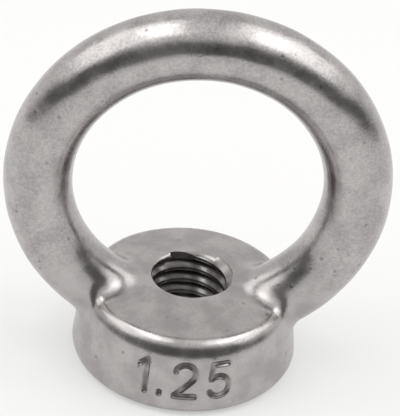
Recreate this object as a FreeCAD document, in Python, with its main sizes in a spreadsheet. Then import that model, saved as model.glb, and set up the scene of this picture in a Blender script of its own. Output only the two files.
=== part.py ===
# Lifting eye nut: a cast ring standing on a round collar, with a threaded hole through the collar.
# It is one solid, in millimetres. The origin is the centre of the flat seat, +Z runs up the hole,
# and the ring stands in the XZ plane, so its eye opens along Y.
import FreeCAD
import Part
import Sketcher
import math
import os

SIZES = [
    ("collar_diameter", "20.3", "across the collar at its seat, before the lower rim is rounded"),
    ("collar_height", "7.9", "from the seat to the collar's top beside the hole"),
    ("collar_draft", "7.0", "degrees that the collar's wall leans inwards"),
    ("top_slope", "9.0", "degrees that the collar's top falls outwards"),
    ("rim_radius", "1.1", "tight rounding from the collar's top into its shoulder"),
    ("rim_turn", "41.0", "degrees that the tight rounding turns"),
    ("shoulder_radius", "2.0", "wide rounding from there into the collar's wall"),
    ("seat_radius", "1.0", "rounding of the collar's lower rim"),
    ("eye_diameter", "21.65", "clear opening of the ring"),
    ("ring_thickness", "5.95", "diameter of the ring's round section"),
    ("ring_floor", "0.9", "from the seat up to the ring's lowest point, buried in the collar"),
    ("eye_blend_radius", "3.8", "fillet from the ring into the collar in the middle of the eye's side"),
    ("foot_blend_radius", "1.6", "fillet from the ring into the collar on its other sides"),
    ("thread_diameter", "8.0", "nominal diameter of the metric thread"),
    ("thread_pitch", "1.25", "pitch of the metric thread"),
    ("top_chamfer", "0.2", "width of the hole's edge break at the top"),
    ("seat_countersink", "8.6", "diameter of the hole's countersink at the seat"),
]

# The hole is as wide as the crests of an internal metric thread: the nominal diameter less
# five quarters of the height of the thread's triangle.
HOLE_RADIUS = "(Sizes.thread_diameter - 1.25 * cos(30 deg) * Sizes.thread_pitch) / 2"
RING_CENTRE_RADIUS = "(Sizes.eye_diameter + Sizes.ring_thickness) / 2"
RING_HEIGHT = "Sizes.ring_floor + Sizes.eye_diameter / 2 + Sizes.ring_thickness"

# The collar's top would meet the hole's axis here, if it fell all the way from there.
TOP_HEIGHT = "Sizes.collar_height + %s * tan(Sizes.top_slope * 1 deg)" % HOLE_RADIUS

# The hole's two ends are cut at 45 degrees, by a cutter that runs a pitch past both faces and
# so is a pitch wider there than the cut is at the face.
CUT_ANGLE = "45 deg"
OVERRUN = "Sizes.thread_pitch"

# How the sketcher numbers its axes and the points of a line or a circle.
X_AXIS, Y_AXIS = -1, -2
START, END, CENTRE = 1, 2, 3

ORIGIN = FreeCAD.Vector(0, 0, 0)
UP = FreeCAD.Vector(0, 0, 1)
SAME = 1e-4


def add_sizes(doc):
    """Put the driving dimensions in a sheet, each with its name and its meaning."""
    sheet = doc.addObject("Spreadsheet::Sheet", "Sizes")
    for row, (name, value, meaning) in enumerate(SIZES, start=1):
        sheet.set("A%d" % row, meaning)
        sheet.set("B%d" % row, value)
        sheet.setAlias("B%d" % row, name)
    doc.recompute()
    return sheet


def add_sketch(body, name, role):
    """Start a sketch on one of the body's own origin planes."""
    sketch = body.newObject("Sketcher::SketchObject", name)
    for plane in body.Origin.OriginFeatures:
        if plane.Role == role:
            sketch.AttachmentSupport = (plane, [""])
    sketch.MapMode = "FlatFace"
    return sketch


def add_loop(sketch, corners):
    """Draw a closed loop of straight lines through the corners and join their ends."""
    points = [FreeCAD.Vector(across, up, 0) for across, up in corners]
    following = points[1:] + points[:1]
    for first, second in zip(points, following):
        sketch.addGeometry(Part.LineSegment(first, second), False)
    for line in range(len(points)):
        next_line = (line + 1) % len(points)
        sketch.addConstraint(Sketcher.Constraint("Coincident", line, END, next_line, START))


def way(angle):
    """The way at this angle in a sketch, measured from its level axis."""
    return FreeCAD.Vector(math.cos(angle), math.sin(angle), 0)


def add_size(sketch, kind, where, drawn, expression):
    """Add a dimension to the sketch as it is drawn and bind it to the sheet."""
    number = sketch.addConstraint(Sketcher.Constraint(kind, *where, drawn))
    sketch.setExpression("Constraints[%d]" % number, expression)


def add_turning(body, name, sketch):
    """Turn the sketch's profile once around the sketch's upright axis."""
    turning = body.newObject("PartDesign::Revolution", name)
    turning.Profile = sketch
    turning.ReferenceAxis = (sketch, ["V_Axis"])
    turning.Angle = 360
    body.Document.recompute()
    return turning


def add_collar(body, sheet):
    """A turned disc whose falling top and leaning wall are joined by a tight and a wide rounding."""
    radius = sheet.collar_diameter / 2
    shoulder_radius, rim_radius = sheet.shoulder_radius, sheet.rim_radius
    lean, fall, turn = map(math.radians, (sheet.collar_draft, sheet.top_slope, sheet.rim_turn))
    height = sheet.collar_height + sheet.thread_diameter / 2 * math.tan(fall)
    join = math.pi / 2 - fall - turn

    # The shoulder's centre lies as far inside the wall and the top as the two roundings need.
    from_wall = radius * math.cos(lean) - shoulder_radius
    from_top = height * math.cos(fall) - rim_radius - (shoulder_radius - rim_radius) * math.cos(turn)
    spread = math.cos(lean + fall)
    centre = FreeCAD.Vector((from_wall * math.cos(fall) - from_top * math.sin(lean)) / spread,
                            (from_top * math.cos(lean) - from_wall * math.sin(fall)) / spread, 0)
    rim_centre = centre + way(join) * (shoulder_radius - rim_radius)
    corner = FreeCAD.Vector(radius, 0, 0)
    wall_end = centre + way(lean) * shoulder_radius
    top_start = rim_centre + way(math.pi / 2 - fall) * rim_radius
    peak = FreeCAD.Vector(0, height, 0)

    sketch = add_sketch(body, "CollarProfile", "XZ_Plane")
    seat, wall, shoulder, rim, top, middle = range(6)
    sketch.addGeometry(Part.LineSegment(ORIGIN, corner), False)
    sketch.addGeometry(Part.LineSegment(corner, wall_end), False)
    shoulder_circle = Part.Circle(centre, UP, shoulder_radius)
    rim_circle = Part.Circle(rim_centre, UP, rim_radius)
    sketch.addGeometry(Part.ArcOfCircle(shoulder_circle, lean, join), False)
    sketch.addGeometry(Part.ArcOfCircle(rim_circle, join, math.pi / 2 - fall), False)
    sketch.addGeometry(Part.LineSegment(top_start, peak), False)
    sketch.addGeometry(Part.LineSegment(peak, ORIGIN), False)
    for first, second in ((seat, wall), (top, middle), (middle, seat)):
        sketch.addConstraint(Sketcher.Constraint("Coincident", first, END, second, START))
    for first, second in ((wall, shoulder), (shoulder, rim), (rim, top)):
        sketch.addConstraint(Sketcher.Constraint("Tangent", first, END, second, START))
    sketch.addConstraint(Sketcher.Constraint("Coincident", seat, START, X_AXIS, START))
    sketch.addConstraint(Sketcher.Constraint("Horizontal", seat))
    sketch.addConstraint(Sketcher.Constraint("Vertical", middle))
    add_size(sketch, "Distance", (seat,), radius, "Sizes.collar_diameter / 2")
    add_size(sketch, "Distance", (middle,), height, TOP_HEIGHT)
    add_size(sketch, "Angle", (wall,), math.pi / 2 + lean, "90 deg + Sizes.collar_draft * 1 deg")
    add_size(sketch, "Angle", (top,), math.pi - fall, "180 deg - Sizes.top_slope * 1 deg")
    add_size(sketch, "Radius", (shoulder,), shoulder_radius, "Sizes.shoulder_radius")
    add_size(sketch, "Radius", (rim,), rim_radius, "Sizes.rim_radius")
    add_size(sketch, "Angle", (rim,), turn, "Sizes.rim_turn * 1 deg")
    return add_turning(body, "Collar", sketch)


def add_rounding(body, name, base, height, radius):
    """Round the collar's circular edge that lies at this height."""
    edges = []
    for number, edge in enumerate(base.Shape.Edges, start=1):
        box = edge.BoundBox
        if box.ZLength < SAME and abs(box.ZMin - height) < SAME:
            edges.append("Edge%d" % number)
    rounding = body.newObject("PartDesign::Fillet", name)
    rounding.Base = (base, edges)
    rounding.setExpression("Radius", radius)
    body.Document.recompute()
    return rounding


def add_ring(body, sheet):
    """A round bar bent to a full ring, whose lower side is sunk in the collar.

    Its section is two half circles, so the skin has a line along the eye where the blend starts.
    """
    thickness = sheet.ring_thickness
    middle = (sheet.eye_diameter + thickness) / 2
    circle = Part.Circle(FreeCAD.Vector(middle, 0, 0), UP, thickness / 2)
    sketch = add_sketch(body, "RingSection", "XY_Plane")
    sketch.setExpression(".AttachmentOffset.Base.z", RING_HEIGHT)
    back, front = range(2)
    sketch.addGeometry(Part.ArcOfCircle(circle, 0, math.pi), False)
    sketch.addGeometry(Part.ArcOfCircle(circle, math.pi, 2 * math.pi), False)
    sketch.addConstraint(Sketcher.Constraint("Coincident", back, END, front, START))
    sketch.addConstraint(Sketcher.Constraint("Coincident", front, END, back, START))
    for arc, point in ((back, START), (back, END), (back, CENTRE), (front, CENTRE)):
        sketch.addConstraint(Sketcher.Constraint("PointOnObject", arc, point, X_AXIS))
    add_size(sketch, "DistanceX", (X_AXIS, START, back, CENTRE), middle, RING_CENTRE_RADIUS)
    add_size(sketch, "Diameter", (back,), thickness, "Sizes.ring_thickness")
    ring = add_turning(body, "Ring", sketch)
    ring.Refine = False
    body.Document.recompute()
    return ring


def is_ring_skin(face):
    """True for the ring's own skin, the only round one whose axis is level."""
    surface = face.Surface
    return surface.TypeId == "Part::GeomToroid" and abs(surface.Axis.dot(UP)) < SAME


def blend_radius(point, sheet):
    """How wide the ring's fillet is here: widest in the middle of the eye's side."""
    middle = (sheet.eye_diameter + sheet.ring_thickness) / 2
    height = sheet.ring_floor + sheet.eye_diameter / 2 + sheet.ring_thickness
    on_eye_line = abs(point.y) < SAME and math.hypot(point.x, point.z - height) < middle
    return sheet.eye_blend_radius if on_eye_line else sheet.foot_blend_radius


def add_blend(doc, casting, ring, sheet):
    """Blend the ring into the collar with a fillet that is wider on the eye's side."""
    shape = ring.Shape
    blended = []
    for number, edge in enumerate(shape.Edges, start=1):
        skins = [is_ring_skin(face) for face in shape.ancestorsOfType(edge, Part.Face)]
        if any(skins) and not all(skins):
            ends = (edge.FirstParameter, edge.LastParameter)
            radii = [blend_radius(edge.valueAt(end), sheet) for end in ends]
            if edge.Orientation == "Reversed":
                radii.reverse()
            blended.append((number, radii[0], radii[1]))
    blend = doc.addObject("Part::Fillet", "Blend")
    blend.Base = casting
    blend.Edges = blended
    doc.recompute()
    return blend


def add_cutter(doc, sheet):
    """The tool that leaves the hole, its countersink at the seat and its edge break on top."""
    overrun = sheet.thread_pitch
    hole = sheet.thread_diameter / 2
    mouth = sheet.seat_countersink / 2 + overrun
    top = sheet.collar_height
    body = doc.addObject("PartDesign::Body", "HoleCutter")
    sketch = add_sketch(body, "HoleProfile", "XZ_Plane")
    below, countersink, wall, edge_break, above, middle = range(6)
    add_loop(sketch, [(0, -overrun), (mouth, -overrun), (hole, mouth - hole - overrun),
                      (hole, top), (hole + overrun, top + overrun), (0, top + overrun)])
    for level in (below, above):
        sketch.addConstraint(Sketcher.Constraint("Horizontal", level))
    for upright in (wall, middle):
        sketch.addConstraint(Sketcher.Constraint("Vertical", upright))
    sketch.addConstraint(Sketcher.Constraint("PointOnObject", below, START, Y_AXIS))
    origin = (X_AXIS, START)
    add_size(sketch, "DistanceX", origin + (wall, START), hole, HOLE_RADIUS)
    add_size(sketch, "Angle", (countersink,), math.radians(135), "180 deg - " + CUT_ANGLE)
    add_size(sketch, "Angle", (edge_break,), math.radians(45), CUT_ANGLE)
    add_size(sketch, "DistanceY", (below, START) + origin, overrun, OVERRUN)
    add_size(sketch, "DistanceY", origin + (above, START), top + overrun,
             "Sizes.collar_height + " + OVERRUN)
    add_size(sketch, "DistanceX", origin + (below, END), mouth,
             "Sizes.seat_countersink / 2 + " + OVERRUN)
    add_size(sketch, "DistanceX", origin + (above, START), hole + overrun,
             HOLE_RADIUS + " + Sizes.top_chamfer + " + OVERRUN)
    add_turning(body, "Hole", sketch)
    return body


def check(doc, part):
    """Stop if any feature failed or the finished part isn't one sound solid."""
    for item in doc.Objects:
        if "Invalid" in item.State or "Error" in item.State:
            raise RuntimeError("failed feature: " + item.Name)
    shape = part.Shape
    if shape.isNull() or not shape.isValid() or len(shape.Solids) != 1:
        raise RuntimeError("unsound part: " + part.Label)


def main():
    doc = FreeCAD.newDocument("EyeNut")
    sheet = add_sizes(doc)
    casting = doc.addObject("PartDesign::Body", "Casting")
    collar = add_collar(casting, sheet)
    add_rounding(casting, "SeatRounding", collar, 0, "Sizes.seat_radius")
    ring = add_ring(casting, sheet)
    nut = doc.addObject("Part::Cut", "EyeNut")
    nut.Base = add_blend(doc, casting, ring, sheet)
    nut.Tool = add_cutter(doc, sheet)
    nut.Label = "eye_nut"
    nut.Placement = FreeCAD.Placement()
    doc.recompute()
    check(doc, nut)
    os.makedirs("parts", exist_ok=True)
    nut.Shape.exportStep(os.path.join("parts", nut.Label + ".step"))
    box = nut.Shape.optimalBoundingBox()
    print("%s: %.2f x %.2f x %.2f mm, %.1f cubic mm"
          % (nut.Label, box.XLength, box.YLength, box.ZLength, nut.Shape.Volume))


main()
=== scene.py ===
# A lifting eye nut of cast stainless steel: one skin in which the ring flows into the collar,
# a tapped thread, a stamped number and a tumbled finish, on a pale floor in soft studio light.
import math
import bmesh
import bpy
import numpy as np
from mathutils import Matrix, Vector, noise


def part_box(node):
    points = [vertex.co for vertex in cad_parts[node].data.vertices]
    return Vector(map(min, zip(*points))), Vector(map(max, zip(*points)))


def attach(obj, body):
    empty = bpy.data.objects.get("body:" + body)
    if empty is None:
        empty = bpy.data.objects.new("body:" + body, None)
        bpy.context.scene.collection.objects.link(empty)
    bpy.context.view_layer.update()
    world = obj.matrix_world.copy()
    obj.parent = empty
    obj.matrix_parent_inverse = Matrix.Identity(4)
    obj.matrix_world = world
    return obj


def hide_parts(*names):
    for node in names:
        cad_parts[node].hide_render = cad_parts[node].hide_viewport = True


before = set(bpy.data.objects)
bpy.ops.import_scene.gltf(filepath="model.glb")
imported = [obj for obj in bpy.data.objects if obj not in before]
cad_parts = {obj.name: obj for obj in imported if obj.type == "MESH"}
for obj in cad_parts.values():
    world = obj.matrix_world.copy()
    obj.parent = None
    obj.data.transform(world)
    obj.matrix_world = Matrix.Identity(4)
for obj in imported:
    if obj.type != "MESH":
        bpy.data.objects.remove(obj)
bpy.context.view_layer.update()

MM = 0.001
NODE = "eye_nut"
low, high = (Vector(corner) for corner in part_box(NODE))

# The eye nut's sizes. What the frame holds is measured from it.
RING_THICKNESS = 5.95 * MM
RING_OUTSIDE = high.x - low.x
RING_CENTRE_RADIUS = (RING_OUTSIDE - RING_THICKNESS) / 2
RING_HEIGHT = high.z - RING_OUTSIDE / 2
COLLAR_RADIUS = 10.15 * MM
COLLAR_HEIGHT = 7.9 * MM
COLLAR_DRAFT = math.radians(7.0)
TOP_SLOPE = math.radians(9.0)
SHOULDER_RADIUS = 2.8 * MM
RIM_RADIUS = 1.1 * MM
RIM_TURN = math.radians(41.0)
SEAT_RADIUS = 1.0 * MM
EYE_BLEND = 3.8 * MM
FOOT_BLEND = 1.6 * MM
TOP_CHAMFER = 0.1 * MM
SEAT_COUNTERSINK = 8.6 * MM

# The thread, as the metric standard has it: a 60 degree vee, flat at its root and at its crest, which
# stands five eighths of a sharp vee's height inside the root.
THREAD_DIAMETER = 8.0 * MM
THREAD_PITCH = 1.25 * MM
ROOT_RADIUS = THREAD_DIAMETER / 2
CREST_RADIUS = ROOT_RADIUS - 5 / 8 * math.cos(math.radians(30)) * THREAD_PITCH
ROOT_FLAT = THREAD_PITCH / 8
CREST_FLAT = THREAD_PITCH / 4
CREST_WEAR = 0.05 * MM

# The skin's mesh. LEAST_SPREAD keeps faces that look the same way from being divided by nothing.
COLLAR_STEPS = 96
BAR_STEPS = 40
RING_STEPS = 160
SKIN_GRID = 0.22 * MM
DRAWING_ROUNDS = 5
RELAX_ROUNDS = 4
RELAX_SHARE = 0.5
SAME_POINT = 0.001 * MM
LEAST_SPREAD = 1e-6
SHARP_EDGE = math.radians(40)

# How far the casting strays from its true form, and how near the seat and the hole it comes back to it.
WAVE_SIZE = 3.4 * MM
WAVE_DEPTH = 0.035 * MM
RIPPLE_SIZE = 1.1 * MM
RIPPLE_DEPTH = 0.008 * MM
SEATED_EDGE = 0.8 * MM
MACHINED_EDGE = 1.2 * MM


def make_object(name, bm):
    """Close a bmesh into a new object of the scene."""
    mesh = bpy.data.meshes.new(name)
    bm.to_mesh(mesh)
    bm.free()
    thing = bpy.data.objects.new(name, mesh)
    bpy.context.scene.collection.objects.link(thing)
    return thing


def take_modifiers(thing):
    """Make what an object's modifiers show its own mesh."""
    graph = bpy.context.evaluated_depsgraph_get()
    graph.update()
    shown = bpy.data.meshes.new_from_object(thing.evaluated_get(graph), depsgraph=graph)
    thing.modifiers.clear()
    thing.data = shown


def add_outline(bm, points):
    """A chain of edges through points given as distance from the hole's axis and height."""
    verts = [bm.verts.new((across, 0, up)) for across, up in points]
    edges = [bm.edges.new(pair) for pair in zip(verts, verts[1:])]
    return verts + edges


def turn(bm, outline, steps, angle=2 * math.pi, centre=(0, 0, 0), axis=(0, 0, 1), rise=0):
    """Turn an outline about an axis, with a rise at each step for a screw."""
    bmesh.ops.spin(bm, geom=outline, cent=centre, axis=axis, dvec=(0, 0, rise), angle=angle, steps=steps)
    bmesh.ops.remove_doubles(bm, verts=bm.verts, dist=SAME_POINT)


def close_up(bm):
    """Fill what is open and point the faces outwards."""
    rims = [edge for edge in bm.edges if edge.is_boundary]
    if rims:
        bmesh.ops.holes_fill(bm, edges=rims)
    bmesh.ops.recalc_face_normals(bm, faces=bm.faces)


def add_collar(bm):
    """The collar as a turned disc, rough at its rims until the skin is drawn over it."""
    lean = COLLAR_HEIGHT * math.tan(COLLAR_DRAFT)
    outline = add_outline(bm, [
        (0, 0),
        (COLLAR_RADIUS - SEAT_RADIUS, 0),
        (COLLAR_RADIUS, SEAT_RADIUS),
        (COLLAR_RADIUS - lean, COLLAR_HEIGHT - SHOULDER_RADIUS - RIM_RADIUS),
        (COLLAR_RADIUS - lean - RIM_RADIUS, COLLAR_HEIGHT - RIM_RADIUS),
        (0, COLLAR_HEIGHT),
    ])
    turn(bm, outline, COLLAR_STEPS)


def add_ring(bm):
    """The ring as a round bar bent to a full circle about the eye's middle."""
    place = Matrix.Translation((RING_CENTRE_RADIUS, 0, RING_HEIGHT))
    bar = bmesh.ops.create_circle(bm, segments=BAR_STEPS, radius=RING_THICKNESS / 2, matrix=place)
    section = bar["verts"]
    edges = list({edge for vert in section for edge in vert.link_edges})
    turn(bm, section + edges, RING_STEPS, centre=(0, 0, RING_HEIGHT), axis=(0, 1, 0))


def rounded(first, second, radius):
    """The common part of two forms, with its edge rounded.

    A form is how far each point is outside it, and the way straight out of it from there.
    """
    (first_gap, first_way), (second_gap, second_way) = first, second
    likeness = np.sum(first_way * second_way, axis=1)
    spread = np.maximum(1 - likeness ** 2, LEAST_SPREAD)
    first_share = (first_gap + radius - likeness * (second_gap + radius)) / spread
    second_share = (second_gap + radius - likeness * (first_gap + radius)) / spread
    arm = first_share[:, None] * first_way + second_share[:, None] * second_way
    length = np.linalg.norm(arm, axis=1)
    on_edge = (first_share > 0) & (second_share > 0)
    gap = np.where(on_edge, length - radius, np.maximum(first_gap, second_gap))
    flat_way = np.where((first_gap > second_gap)[:, None], first_way, second_way)
    way = np.where(on_edge[:, None], arm / np.maximum(length, SAME_POINT)[:, None], flat_way)
    return gap, way


def filleted(first, second, radius):
    """Two forms together, with the valley between them filleted."""
    inner = [(-gap, -way) for gap, way in (first, second)]
    gap, way = rounded(*inner, radius)
    return -gap, -way


def seat_face(points):
    """The form above the level seat."""
    way = np.zeros_like(points)
    way[:, 2] = -1
    return -points[:, 2], way


def turned_face(points, lift, reach):
    """The form inside a cone about the hole's axis, whose face looks up from level by an angle."""
    x, y, z = points.T
    away = np.maximum(np.hypot(x, y), SAME_POINT)
    level, up = math.cos(lift), math.sin(lift)
    way = np.column_stack((x / away * level, y / away * level, np.full(len(points), up)))
    return away * level + z * up - reach, way


def collar_form(points):
    """The collar: a leaning wall and a falling top, which a wide and a tight rounding join."""
    top_lift = math.pi / 2 - TOP_SLOPE
    join_lift = top_lift - RIM_TURN
    wall_reach = COLLAR_RADIUS * math.cos(COLLAR_DRAFT)
    top_reach = CREST_RADIUS * math.cos(top_lift) + COLLAR_HEIGHT * math.sin(top_lift)
    ways = np.array([(math.cos(lift), math.sin(lift)) for lift in (COLLAR_DRAFT, top_lift, join_lift)])
    inside = (
        wall_reach - SHOULDER_RADIUS,
        top_reach - RIM_RADIUS - (SHOULDER_RADIUS - RIM_RADIUS) * math.cos(RIM_TURN),
    )
    shoulder_centre = np.linalg.solve(ways[:2], inside)
    join_reach = shoulder_centre @ ways[2] + SHOULDER_RADIUS
    wall = turned_face(points, COLLAR_DRAFT, wall_reach)
    shoulder = rounded(wall, turned_face(points, join_lift, join_reach), SHOULDER_RADIUS)
    return rounded(shoulder, turned_face(points, top_lift, top_reach), RIM_RADIUS)


def ring_bar(points):
    """The form inside the ring's round bar, and how squarely each point faces the eye's middle."""
    x, y, z = points.T
    z = z - RING_HEIGHT
    from_middle = np.maximum(np.hypot(x, z), SAME_POINT)
    outwards = from_middle - RING_CENTRE_RADIUS
    reach = np.maximum(np.hypot(outwards, y), SAME_POINT)
    share = outwards / reach
    way = np.column_stack((x / from_middle * share, y / reach, z / from_middle * share))
    return (reach - RING_THICKNESS / 2, way), -share


def eye_nut_form(points):
    """How far points are outside the eye nut's skin, and the way straight out of it."""
    ring, facing_eye = ring_bar(points)
    blend = FOOT_BLEND + (EYE_BLEND - FOOT_BLEND) * np.maximum(facing_eye, 0) ** 2
    return rounded(filleted(collar_form(points), ring, blend), seat_face(points), SEAT_RADIUS)


def slopes(points):
    """The ways straight out of the skin nearest to points."""
    return eye_nut_form(points)[1]


def from_axis(points):
    """How far points are from the hole's axis."""
    return np.hypot(points[:, 0], points[:, 1])


def unevenness(points, size):
    """A smooth wavering of about this size, from -1 to 1, at each point."""
    return np.array([noise.noise(Vector(point) / size) for point in points])


def places(mesh):
    """The places of a mesh's vertices."""
    flat = np.empty(len(mesh.vertices) * 3)
    mesh.vertices.foreach_get("co", flat)
    return flat.reshape(-1, 3)


def move_to(mesh, points):
    """Put a mesh's vertices in new places."""
    mesh.vertices.foreach_set("co", points.ravel())
    mesh.update()


def draw_onto_skin(mesh):
    """Bring every vertex onto the eye nut's true form."""
    points = places(mesh)
    for _ in range(DRAWING_ROUNDS):
        gap, way = eye_nut_form(points)
        points -= gap[:, None] * way
    move_to(mesh, points)


def relax(mesh):
    """Even out a mesh's vertices."""
    bm = bmesh.new()
    bm.from_mesh(mesh)
    bmesh.ops.smooth_vert(bm, verts=bm.verts, factor=RELAX_SHARE, use_axis_x=True, use_axis_y=True,
                          use_axis_z=True)
    bm.to_mesh(mesh)
    bm.free()


def make_skin():
    """One closed, even skin over the ring and the collar together."""
    bm = bmesh.new()
    add_collar(bm)
    add_ring(bm)
    close_up(bm)
    skin = make_object("cast_eye_nut", bm)
    remesh = skin.modifiers.new("One skin", "REMESH")
    remesh.mode = "VOXEL"
    remesh.voxel_size = SKIN_GRID
    take_modifiers(skin)
    for _ in range(RELAX_ROUNDS):
        draw_onto_skin(skin.data)
        relax(skin.data)
    draw_onto_skin(skin.data)
    return skin


def cast_unevenness(skin):
    """Let the skin stray a little from its true form, as a casting does away from its machined hole."""
    points = places(skin.data)
    stray = WAVE_DEPTH * unevenness(points, WAVE_SIZE) + RIPPLE_DEPTH * unevenness(points, RIPPLE_SIZE)
    seated = np.clip(points[:, 2] / SEATED_EDGE, 0, 1)
    from_hole = np.clip((from_axis(points) - ROOT_RADIUS) / MACHINED_EDGE, 0, 1)
    as_cast = np.where(points[:, 2] < COLLAR_HEIGHT + SKIN_GRID, from_hole, 1)
    points += slopes(points) * (stray * seated * as_cast)[:, None]
    move_to(skin.data, points)


# The stamped number and the shade painted into its strokes. A stroke is flat at its middle and steep at its
# sides, and its lip's place and width are in units of it.
STAMP_HEIGHT = 3.15 * MM
STAMP_BASE = 2.05 * MM
STAMP_AZIMUTH = math.radians(-91)
STAMP_WALL = 0.85 * COLLAR_RADIUS
STAMP_STROKE = 0.24 * MM
STAMP_REACH = 3 * STAMP_STROKE
STAMP_CUTS = 3
STROKE_STEEPNESS = 4
STAMP_DEPTH = 0.13 * MM
DEPTH_CHANGE = 0.5
DEPTH_CHANGE_SIZE = 1.3 * MM
LIP_HEIGHT = 0.012 * MM
LIP_PLACE = 1.5
LIP_WIDTH = 0.4
STROKE_SHADE_WIDTH = 0.29 * MM
STROKE_SHADE_SHARE = 0.8
STROKE_SHADE_CHANGE = 0.7
STROKE_SHADE_CHANGE_SIZE = 0.9 * MM


def line(x1, y1, x2, y2):
    """A straight stroke, as a measure of how far points are from it."""
    def gap(x, y):
        length = math.hypot(x2 - x1, y2 - y1)
        along = ((x - x1) * (x2 - x1) + (y - y1) * (y2 - y1)) / length ** 2
        along = np.clip(along, 0, 1)
        return np.hypot(x - x1 - along * (x2 - x1), y - y1 - along * (y2 - y1))
    return gap


def arc(x0, y0, radius, start, end):
    """A round stroke, clockwise from one angle in degrees down to another."""
    def tip_gap(x, y, angle):
        side, up = math.cos(math.radians(angle)), math.sin(math.radians(angle))
        return np.hypot(x - x0 - radius * side, y - y0 - radius * up)

    def gap(x, y):
        turned = (start - np.degrees(np.arctan2(y - y0, x - x0))) % 360
        tips = np.minimum(tip_gap(x, y, start), tip_gap(x, y, end))
        return np.where(turned <= start - end, abs(np.hypot(x - x0, y - y0) - radius), tips)
    return gap


# Plain digits, each with its width and its strokes, in units of their height.
DIGITS = [
    (0.22, [line(0, 0.8, 0.22, 1), line(0.22, 1, 0.22, 0)]),
    (0.02, [line(0.01, 0.02, 0.01, 0.05)]),
    (0.58, [arc(0.29, 0.71, 0.29, 165, -40), line(0.51, 0.52, 0, 0), line(0, 0, 0.58, 0)]),
    (0.58, [line(0.54, 1, 0.1, 1), line(0.1, 1, 0.05, 0.55), arc(0.27, 0.31, 0.31, 130, -145)]),
]
DIGIT_GAP = 0.42


def stroke_gaps(points):
    """How far points of the collar's wall are from the nearest stroke of the number."""
    turned = np.arctan2(points[:, 1], points[:, 0]) - STAMP_AZIMUTH
    across = turned * COLLAR_RADIUS / STAMP_HEIGHT
    up = (points[:, 2] - STAMP_BASE) / STAMP_HEIGHT
    width = sum(digit[0] for digit in DIGITS) + DIGIT_GAP * (len(DIGITS) - 1)
    nearest = np.full(len(points), np.inf)
    start = -width / 2
    for digit_width, strokes in DIGITS:
        for gap in strokes:
            nearest = np.minimum(nearest, gap(across - start, up))
        start += digit_width + DIGIT_GAP
    return nearest * STAMP_HEIGHT


def on_stamp(points):
    """True for the points of the wall that the number's strokes reach."""
    front_wall = (from_axis(points) > STAMP_WALL) & (points[:, 1] < 0)
    return front_wall & (stroke_gaps(points) < STAMP_REACH)


def refine_stamp(skin):
    """Give the wall finer faces where the number goes."""
    bm = bmesh.new()
    bm.from_mesh(skin.data)
    bm.verts.ensure_lookup_table()
    near = on_stamp(places(skin.data))
    edges = [edge for edge in bm.edges if near[edge.verts[0].index] and near[edge.verts[1].index]]
    bmesh.ops.subdivide_edges(bm, edges=edges, cuts=STAMP_CUTS, use_grid_fill=True)
    bm.to_mesh(skin.data)
    bm.free()
    draw_onto_skin(skin.data)


def press_stamp(skin):
    """Press the number's strokes into the wall, with a low lip thrown up beside them."""
    points = places(skin.data)
    near = on_stamp(points)
    gap = stroke_gaps(points[near]) / STAMP_STROKE
    change = 1 + DEPTH_CHANGE * unevenness(points[near], DEPTH_CHANGE_SIZE)
    depth = STAMP_DEPTH * change * np.exp(-gap ** STROKE_STEEPNESS)
    lip = LIP_HEIGHT * np.exp(-((gap - LIP_PLACE) / LIP_WIDTH) ** 2)
    points[near] += slopes(points[near]) * (lip - depth)[:, None]
    move_to(skin.data, points)


# The tools that cut the hole. The tap reaches some turns past the seat and the top, and the blunt start
# takes off the thread's thin first crest over part of a turn.
THREAD_STEPS = 80
THREAD_PHASE = 0.47
TURNS_BELOW = 3
SPARE_TURNS = 5
TOOL_REACH = 1 * MM
CONE_DEPTH = 3 * MM
BLUNT_AZIMUTH = math.radians(118)
BLUNT_SWEEP = math.radians(-60)
BLUNT_SHIFT = 1.2 * MM
BLUNT_DEPTH = 0.85 * MM
BLUNT_INSIDE = 2 * MM
BLUNT_RADIUS = 3.75 * MM
BLUNT_STEPS = 24


def make_tap():
    """The threaded core that leaves the thread's crests and roots in the bore."""
    flank = (THREAD_PITCH - ROOT_FLAT - CREST_FLAT) / 2
    turns = math.ceil(COLLAR_HEIGHT / THREAD_PITCH) + SPARE_TURNS
    start = -(TURNS_BELOW + THREAD_PHASE) * THREAD_PITCH
    outline = []
    for count in range(turns):
        base = start + count * THREAD_PITCH
        outline += [
            (CREST_RADIUS, base + CREST_WEAR),
            (CREST_RADIUS, base + CREST_FLAT - CREST_WEAR),
            (CREST_RADIUS + CREST_WEAR, base + CREST_FLAT + CREST_WEAR / 2),
            (ROOT_RADIUS, base + CREST_FLAT + flank),
            (ROOT_RADIUS, base + CREST_FLAT + flank + ROOT_FLAT),
            (CREST_RADIUS + CREST_WEAR, base + THREAD_PITCH - CREST_WEAR / 2),
        ]
    bm = bmesh.new()
    turn(bm, add_outline(bm, outline), THREAD_STEPS, rise=THREAD_PITCH / THREAD_STEPS)
    for height, keep_below in ((COLLAR_HEIGHT + THREAD_PITCH, True), (-THREAD_PITCH, False)):
        bmesh.ops.bisect_plane(bm, geom=bm.verts[:] + bm.edges[:] + bm.faces[:], plane_co=(0, 0, height),
                               plane_no=(0, 0, 1), clear_outer=keep_below, clear_inner=not keep_below)
    close_up(bm)
    return make_object("tap", bm)


def make_cone(name, radius, height, outwards):
    """A tool that breaks the bore's edge at 45 degrees where it meets a face at this height.

    It widens upwards where outwards is 1 and downwards where it is -1.
    """
    tip, back = height - outwards * CONE_DEPTH, height + outwards * TOOL_REACH
    outline = [(0, tip), (radius - CONE_DEPTH, tip), (radius + TOOL_REACH, back), (0, back)]
    bm = bmesh.new()
    turn(bm, add_outline(bm, outline), THREAD_STEPS)
    close_up(bm)
    return make_object(name, bm)


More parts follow.
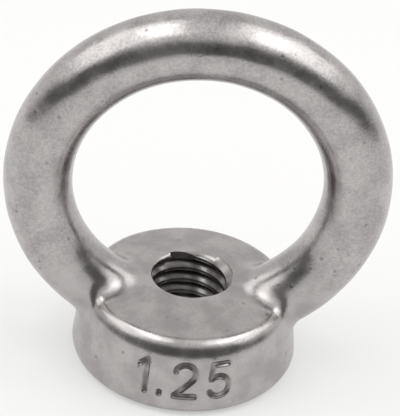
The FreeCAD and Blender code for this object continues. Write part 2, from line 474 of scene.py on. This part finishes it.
def make_blunt_start():
    """The tool that takes off the thread's thin first crest.

    It turns about a centre beside the hole's axis, so it cuts deep at one end and runs out at the other.
    """
    bottom, top = COLLAR_HEIGHT - BLUNT_DEPTH, COLLAR_HEIGHT + TOOL_REACH
    corners = [(BLUNT_INSIDE, bottom), (BLUNT_RADIUS, bottom), (BLUNT_RADIUS, top), (BLUNT_INSIDE, top)]
    bm = bmesh.new()
    verts = [bm.verts.new((across, 0, up)) for across, up in corners]
    bm.faces.new(verts)
    bmesh.ops.rotate(bm, verts=bm.verts, cent=(0, 0, 0), matrix=Matrix.Rotation(BLUNT_AZIMUTH, 3, "Z"))
    centre = (BLUNT_SHIFT * math.cos(BLUNT_AZIMUTH), BLUNT_SHIFT * math.sin(BLUNT_AZIMUTH), 0)
    turn(bm, bm.verts[:] + bm.edges[:] + bm.faces[:], BLUNT_STEPS, angle=BLUNT_SWEEP, centre=centre)
    bmesh.ops.recalc_face_normals(bm, faces=bm.faces)
    return make_object("blunt_start", bm)


def cut(skin, tools):
    """Cut the tools' forms out of the skin, one after another."""
    for tool in tools:
        step = skin.modifiers.new(tool.name, "BOOLEAN")
        step.operation = "DIFFERENCE"
        step.solver = "MANIFOLD"
        step.object = tool
    take_modifiers(skin)
    for tool in tools:
        bpy.data.objects.remove(tool)


# The painted shade in the hole: how dark it is deep down, the least share of that near the mouth, how far
# down it is full, the clean edge at the top, and the random streaks that it lies in.
THREAD_PAINTED_SHADE = 0.86
MOUTH_SHADE_SHARE = 0.62
FULL_SHADE_BELOW = 1.2 * MM
MOUTH_EDGE = 0.02 * MM
SHADE_STREAKS = 0.9
STREAK_SIZE = 0.9 * MM


def paint_recess_shade(skin):
    """Store how dark each vertex is painted with shade, from 0 to 1, in the hole's thread and the number's
    strokes.
    """
    points = places(skin.data)
    reach = from_axis(points)
    below_top = COLLAR_HEIGHT - (reach - CREST_RADIUS) * math.tan(TOP_SLOPE) - points[:, 2]
    in_hole = (reach < ROOT_RADIUS + SAME_POINT) & (below_top > MOUTH_EDGE)
    # Painted shade in the hole: darker deep down, lighter towards the mouth, in random streaks.
    streaks = 1 + SHADE_STREAKS * unevenness(points * (1, 1, 0), STREAK_SIZE)
    hole_shade = THREAD_PAINTED_SHADE * np.clip(below_top / FULL_SHADE_BELOW, MOUTH_SHADE_SHARE, 1) * streaks
    thread = np.where(in_hole, hole_shade, 0)
    # Painted shade in the number's strokes, varied at random.
    in_stroke = np.exp(-(stroke_gaps(points) / STROKE_SHADE_WIDTH) ** STROKE_STEEPNESS)
    stroke = np.where(on_stamp(points), in_stroke, 0)
    stroke *= STROKE_SHADE_SHARE + STROKE_SHADE_CHANGE * unevenness(points, STROKE_SHADE_CHANGE_SIZE)
    # The stored value is painted shade for the recesses; the steel also turns rougher where it is high.
    recess_shade = skin.data.attributes.new("recess_shade", "FLOAT", "POINT")
    recess_shade.data.foreach_set("value", np.clip(np.maximum(thread, stroke), 0, 1).astype(np.float32))


def make_eye_nut():
    """The whole eye nut: the skin, cast, stamped, tapped and finished in steel."""
    skin = make_skin()
    refine_stamp(skin)
    cast_unevenness(skin)
    press_stamp(skin)
    cut(skin, [
        make_tap(),
        make_cone("top_break", CREST_RADIUS + TOP_CHAMFER, COLLAR_HEIGHT, 1),
        make_cone("seat_break", SEAT_COUNTERSINK / 2, 0, -1),
        make_blunt_start(),
    ])
    paint_recess_shade(skin)
    skin.data.materials.clear()
    skin.data.materials.append(stainless_steel())
    skin.data.shade_smooth()
    skin.data.set_sharp_from_angle(angle=SHARP_EDGE)
    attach(skin, "root")
    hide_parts(NODE)


# The steel's finish. A spread is the part of a noise's range that is drawn out from 0 to 1.
DULL_STEEL = (0.328, 0.312, 0.309, 1)
BRIGHT_STEEL = (0.54, 0.516, 0.51, 1)
# The near-black colour of the painted shade in the recesses and the pits.
PAINTED_SHADE_COLOUR = (0.06, 0.054, 0.051, 1)
GRAINS_PER_METRE = 4200
GRAIN_NOISE = {"Detail": 3.0, "Roughness": 0.6}
CLOUDS_PER_METRE = 420
CLOUD_NOISE = {"Detail": 4.0, "Roughness": 0.55}
GRAIN_SPREAD = (0.3, 0.7)
CLOUD_SPREAD = (0.35, 0.65)
SPECKLE_SHARE = 0.5
CLOUD_SHARE = 0.5
CALM_BELOW = (8.0 * MM, 12.5 * MM)
CALM_SHARE = 0.25
POLISH_SPREAD = (0.3, 0.7)
POLISH_ROUGHNESS = (0.2, 0.3)
RECESS_ROUGHNESS = 0.45
RECESS_DARKNESS = 0.85
PITS_PER_METRE = 900
PIT_RADIUS = 0.2
PIT_SHARE = 0.3
PIT_DARKNESS = 0.6
PIT_DEPTH = 2.0
GRAIN_DEPTH = 0.006 * MM


def new_group(name, inputs, outputs):
    """An empty shader node group with named sockets; a number is an input's default."""
    group = bpy.data.node_groups.new(name, "ShaderNodeTree")
    for label, default in inputs.items():
        kind = "NodeSocketVector" if default is None else "NodeSocketFloat"
        socket = group.interface.new_socket(label, in_out="INPUT", socket_type=kind)
        if default is not None:
            socket.default_value = default
    for label in outputs:
        group.interface.new_socket(label, in_out="OUTPUT", socket_type="NodeSocketFloat")
    return group, group.nodes.new("NodeGroupInput"), group.nodes.new("NodeGroupOutput")


def add_node(tree, kind, settings=None, **links):
    """A node with its settings, and its inputs joined to sockets or set to values.

    An input is given by its name, or by an i and its number.
    """
    node = tree.nodes.new("ShaderNode" + kind)
    for name, value in (settings or {}).items():
        setattr(node, name, value)
    for name, source in links.items():
        socket = node.inputs[int(name[1:])] if name[1:].isdigit() else node.inputs[name]
        if isinstance(source, bpy.types.NodeSocket):
            tree.links.new(source, socket)
        else:
            socket.default_value = source
    return node


def add_group(tree, group, place):
    """A node group in a material, with its pattern on the piece's own coordinates."""
    node = tree.nodes.new("ShaderNodeGroup")
    node.node_tree = group
    tree.links.new(place, node.inputs["Place"])
    return node.outputs


def maths(tree, operation, first, second=0.0, third=0.0):
    """The result of one sum."""
    return add_node(tree, "Math", {"operation": operation}, i0=first, i1=second, i2=third).outputs[0]


def product(tree, first, second):
    """Two values multiplied."""
    return maths(tree, "MULTIPLY", first, second)


def larger(tree, first, second):
    """The larger of two values."""
    return maths(tree, "MAXIMUM", first, second)


def remap(tree, value, from_range, to_range=(0.0, 1.0)):
    """A value moved smoothly from one range to another and held inside it."""
    node = add_node(tree, "MapRange", {"interpolation_type": "SMOOTHSTEP"}, Value=value, i1=from_range[0],
                    i2=from_range[1], i3=to_range[0], i4=to_range[1])
    return node.outputs[0]


def mix_colours(tree, share, first, second):
    """A colour between two others."""
    return add_node(tree, "Mix", {"data_type": "RGBA"}, i0=share, i6=first, i7=second).outputs[2]


def tumbled_grain():
    """Fine unevenness left by tumbling: a height to bump, and a patchy cloud."""
    sizes = {"Place": None, "Grain per metre": GRAINS_PER_METRE, "Cloud per metre": CLOUDS_PER_METRE}
    group, given, result = new_group("tumbled grain", sizes, ["Height", "Cloud"])
    place, grain_scale, cloud_scale = (given.outputs[label] for label in sizes)
    fine = add_node(group, "TexNoise", Vector=place, Scale=grain_scale, **GRAIN_NOISE)
    cloud = add_node(group, "TexNoise", Vector=place, Scale=cloud_scale, **CLOUD_NOISE)
    group.links.new(fine.outputs[0], result.inputs["Height"])
    group.links.new(cloud.outputs[0], result.inputs["Cloud"])
    return group


def scattered_pits():
    """Tiny round pits scattered over a casting: 1 inside a pit."""
    sizes = {"Place": None, "Cells per metre": PITS_PER_METRE, "Radius": PIT_RADIUS, "Share": PIT_SHARE}
    group, given, result = new_group("scattered pits", sizes, ["Pit"])
    place, scale, radius, share = (given.outputs[label] for label in sizes)
    cells = add_node(group, "TexVoronoi", Vector=place, Scale=scale)
    draw = add_node(group, "SeparateColor", i0=cells.outputs["Color"]).outputs[0]
    chosen = maths(group, "LESS_THAN", draw, share)
    near = maths(group, "SUBTRACT", 1.0, maths(group, "DIVIDE", cells.outputs["Distance"], radius))
    group.links.new(product(group, larger(group, near, 0.0), chosen), result.inputs["Pit"])
    return group


def stainless_steel():
    """Cast stainless steel with a tumbled satin finish, fine pits, faint clouds, and painted shade darkening
    its recesses and pits.
    """
    material = bpy.data.materials.new("stainless_steel")
    material.use_nodes = True
    tree = material.node_tree
    shader = tree.nodes["Principled BSDF"]
    place = add_node(tree, "TexCoord").outputs["Object"]
    grain = add_group(tree, tumbled_grain(), place)
    pit = add_group(tree, scattered_pits(), place)["Pit"]
    recess_shade = add_node(tree, "Attribute", {"attribute_name": "recess_shade"}).outputs["Fac"]

    # The speckle is calmer low on the nut.
    up = add_node(tree, "SeparateXYZ", Vector=place).outputs["Z"]
    contrast = remap(tree, up, CALM_BELOW, (CALM_SHARE, 1.0))
    speckle = remap(tree, grain["Height"], GRAIN_SPREAD)
    speckle = maths(tree, "MULTIPLY_ADD", maths(tree, "SUBTRACT", speckle, 0.5), contrast, 0.5)
    cloud = remap(tree, grain["Cloud"], CLOUD_SPREAD)
    patch = maths(tree, "MULTIPLY_ADD", speckle, SPECKLE_SHARE, product(tree, cloud, CLOUD_SHARE))
    clean = mix_colours(tree, patch, DULL_STEEL, BRIGHT_STEEL)
    # Painted shade: the recesses and the pits are darkened towards the near-black shade colour.
    dark = larger(tree, product(tree, recess_shade, RECESS_DARKNESS), product(tree, pit, PIT_DARKNESS))
    tree.links.new(mix_colours(tree, dark, clean, PAINTED_SHADE_COLOUR), shader.inputs["Base Color"])

    shader.inputs["Metallic"].default_value = 1.0
    polish = remap(tree, grain["Cloud"], POLISH_SPREAD, POLISH_ROUGHNESS)
    roughness = larger(tree, polish, product(tree, recess_shade, RECESS_ROUGHNESS))
    tree.links.new(roughness, shader.inputs["Roughness"])

    height = maths(tree, "SUBTRACT", grain["Height"], product(tree, pit, PIT_DEPTH))
    bump = add_node(tree, "Bump", Strength=1.0, Distance=GRAIN_DEPTH, Height=height)
    tree.links.new(bump.outputs[0], shader.inputs["Normal"])
    return material


# The studio. The room goes from dark to light along LIT_SIDE, over the stretch DARK_EDGE.
FLOOR_RADIUS = 0.35
FLOOR_STEPS = 96
FLOOR_COLOUR = (0.45, 0.448, 0.445, 1)
FLOOR_ROUGHNESS = 0.9
FLOOR_SHINE = 0.1
FLOOR_GLOW = 0.43
SKY_COLOUR = (1, 0.995, 0.985, 1)
SKY = 0.81
CAMERA_SIDE_DARK = 0.145
LIT_SIDE = (0, 0.65, 1)
DARK_EDGE = (0.0, 0.3)
LAMP_DISTANCE = 0.55

# Each lamp's name, its tilts from the vertical towards the camera and to the right in degrees, its width
# and length in metres, and its power to the square metre.
LAMPS = [
    ("lamp_left", 0, -36, 0.54, 0.6, 3.2),
    ("lamp_left_core", 3, -21, 0.13, 0.36, 4.6),
    ("lamp_right", 0, 38, 0.5, 0.6, 3.2),
    ("lamp_right_core", 5, 31, 0.14, 0.36, 4.6),
]


def add_floor():
    """A round pale floor, level with the nut's seat."""
    bm = bmesh.new()
    bmesh.ops.create_circle(bm, cap_ends=True, segments=FLOOR_STEPS, radius=FLOOR_RADIUS)
    floor = make_object("floor", bm)
    material = bpy.data.materials.new("pale_floor")
    material.use_nodes = True
    tree = material.node_tree
    shader = tree.nodes["Principled BSDF"]
    shader.inputs["Base Color"].default_value = FLOOR_COLOUR
    shader.inputs["Roughness"].default_value = FLOOR_ROUGHNESS
    shader.inputs["Specular IOR Level"].default_value = FLOOR_SHINE
    shader.inputs["Emission Color"].default_value = (1, 1, 1, 1)
    rays = add_node(tree, "LightPath").outputs
    seen = larger(tree, rays["Is Camera Ray"], rays["Is Glossy Ray"])
    seen = larger(tree, seen, rays["Is Transmission Ray"])
    tree.links.new(product(tree, seen, FLOOR_GLOW), shader.inputs["Emission Strength"])
    floor.data.materials.append(material)


def add_sky():
    """A plain grey room, dark low down on the side that the photograph was taken from."""
    world = bpy.data.worlds.new("studio")
    bpy.context.scene.world = world
    world.use_nodes = True
    tree = world.node_tree
    where = add_node(tree, "TexCoord").outputs["Generated"]
    lift = add_node(tree, "VectorMath", {"operation": "DOT_PRODUCT"}, i0=where, i1=LIT_SIDE).outputs["Value"]
    level = remap(tree, lift, DARK_EDGE, (CAMERA_SIDE_DARK, SKY))
    tree.links.new(level, tree.nodes["Background"].inputs["Strength"])
    tree.nodes["Background"].inputs["Color"].default_value = SKY_COLOUR


def add_lamp(name, toward, right, width, length, power):
    """A large soft lamp overhead, aimed at the nut's seat."""
    toward, right = math.radians(toward), math.radians(right)
    side, level = math.sin(right), math.cos(right)
    direction = Vector((side, -math.sin(toward) * level, math.cos(toward) * level))
    lamp = bpy.data.lights.new(name, "AREA")
    lamp.shape = "RECTANGLE"
    lamp.size, lamp.size_y = width, length
    lamp.energy = power * width * length
    thing = bpy.data.objects.new(name, lamp)
    across = Vector((0, 1, 0)).cross(direction).normalized()
    axes = Matrix((across, direction.cross(across), direction)).transposed().to_4x4()
    thing.matrix_world = Matrix.Translation(direction * LAMP_DISTANCE) @ axes
    bpy.context.scene.collection.objects.link(thing)


# The photograph's view: the direction it was taken from, and how the frame sits on the object.
VIEW_AZIMUTH = math.radians(-3.486)
VIEW_ELEVATION = math.radians(34.186)
VIEW_ROLL = math.radians(5.569)
VIEW_DISTANCE = 196.776 * MM
VIEW_TARGET = Vector((0, 0, 14.224 * MM))
VIEW_SHIFT = Vector((0.440 * MM, 0.698 * MM, 0))
FRAME_HEIGHT = 416
FOCAL_LENGTH_PIXELS = 2260.71
SENSOR_HEIGHT = 36
CLIP_START = 0.01


def add_camera():
    """The camera, with its own axes as columns: right, up and back."""
    side, level = math.sin(VIEW_AZIMUTH), math.cos(VIEW_AZIMUTH)
    flat, up = math.cos(VIEW_ELEVATION), math.sin(VIEW_ELEVATION)
    back = Vector((side * flat, -level * flat, up))
    right = Vector((level, side, 0))
    axes = Matrix((right, back.cross(right), back)).transposed().to_4x4()
    axes = axes @ Matrix.Rotation(VIEW_ROLL, 4, "Z")
    eye = VIEW_TARGET + axes.to_3x3() @ (VIEW_SHIFT + Vector((0, 0, VIEW_DISTANCE)))
    lens = bpy.data.cameras.new("camera")
    lens.sensor_fit = "VERTICAL"
    lens.sensor_height = SENSOR_HEIGHT
    lens.lens = SENSOR_HEIGHT * FOCAL_LENGTH_PIXELS / FRAME_HEIGHT
    lens.clip_start = CLIP_START
    camera = bpy.data.objects.new("camera", lens)
    camera.matrix_world = Matrix.Translation(eye) @ axes
    bpy.context.scene.collection.objects.link(camera)
    bpy.context.scene.camera = camera


add_camera()
add_floor()
add_sky()
for lamp_values in LAMPS:
    add_lamp(*lamp_values)
make_eye_nut()
bpy.context.scene.view_settings.view_transform = "Standard"
